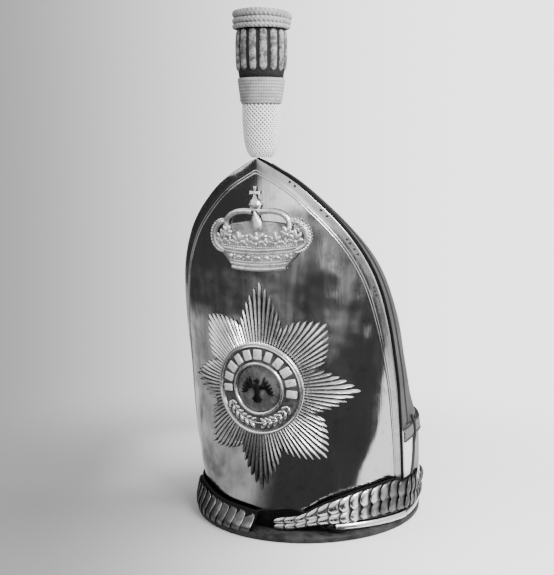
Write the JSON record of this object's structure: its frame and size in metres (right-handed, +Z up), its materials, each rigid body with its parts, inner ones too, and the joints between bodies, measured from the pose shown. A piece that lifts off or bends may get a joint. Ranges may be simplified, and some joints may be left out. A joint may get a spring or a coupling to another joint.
{
  "type": "mitre cap",
  "caption": "Tall mitre cap: bowed pointed metal front plate with crown and star badges, cloth bag and headband behind, scaled chin strap on a leather rim, ribbed pompom on the tip.",
  "frame": {"origin": "Centre of the bounding box's underside, on the surface that the rim stands on", "axes": "+Z up to the pompom; -Y is where the metal plate faces; +X is the right-hand side seen from the front"},
  "size_m": [0.1875, 0.1958, 0.3823],
  "materials": {
    "polished_plate": "polished",
    "cast_metal": "satin",
    "enamel": "gloss",
    "black_leather": "satin",
    "bag_cloth": "matt",
    "band_cloth": "matt",
    "braid": "woven",
    "pale_wool": "matt",
    "dark_velvet": "velvet"
  },
  "bodies": {
    "root": {"front_plate": "polished_plate", "edge_binding": "black_leather", "bag": "bag_cloth", "headband": "band_cloth", "headband_braid": "braid", "base_rim": "black_leather", "base_trim": "polished_plate", "crown_badge": "cast_metal", "star_rays": "cast_metal", "medallion_ring": "cast_metal", "medallion_tablets": "cast_metal", "laurel_sprigs": "cast_metal", "medallion_disc": "enamel", "heraldic_bird": "enamel", "pompom_stem": "pale_wool", "pompom_band": "pale_wool", "pompom_barrel": "dark_velvet", "pompom_rim": "pale_wool", "scales_right": "cast_metal", "scales_left": "cast_metal", "strap_rear": "black_leather", "strap_tongue": "black_leather"}
  },
  "joints": []
}
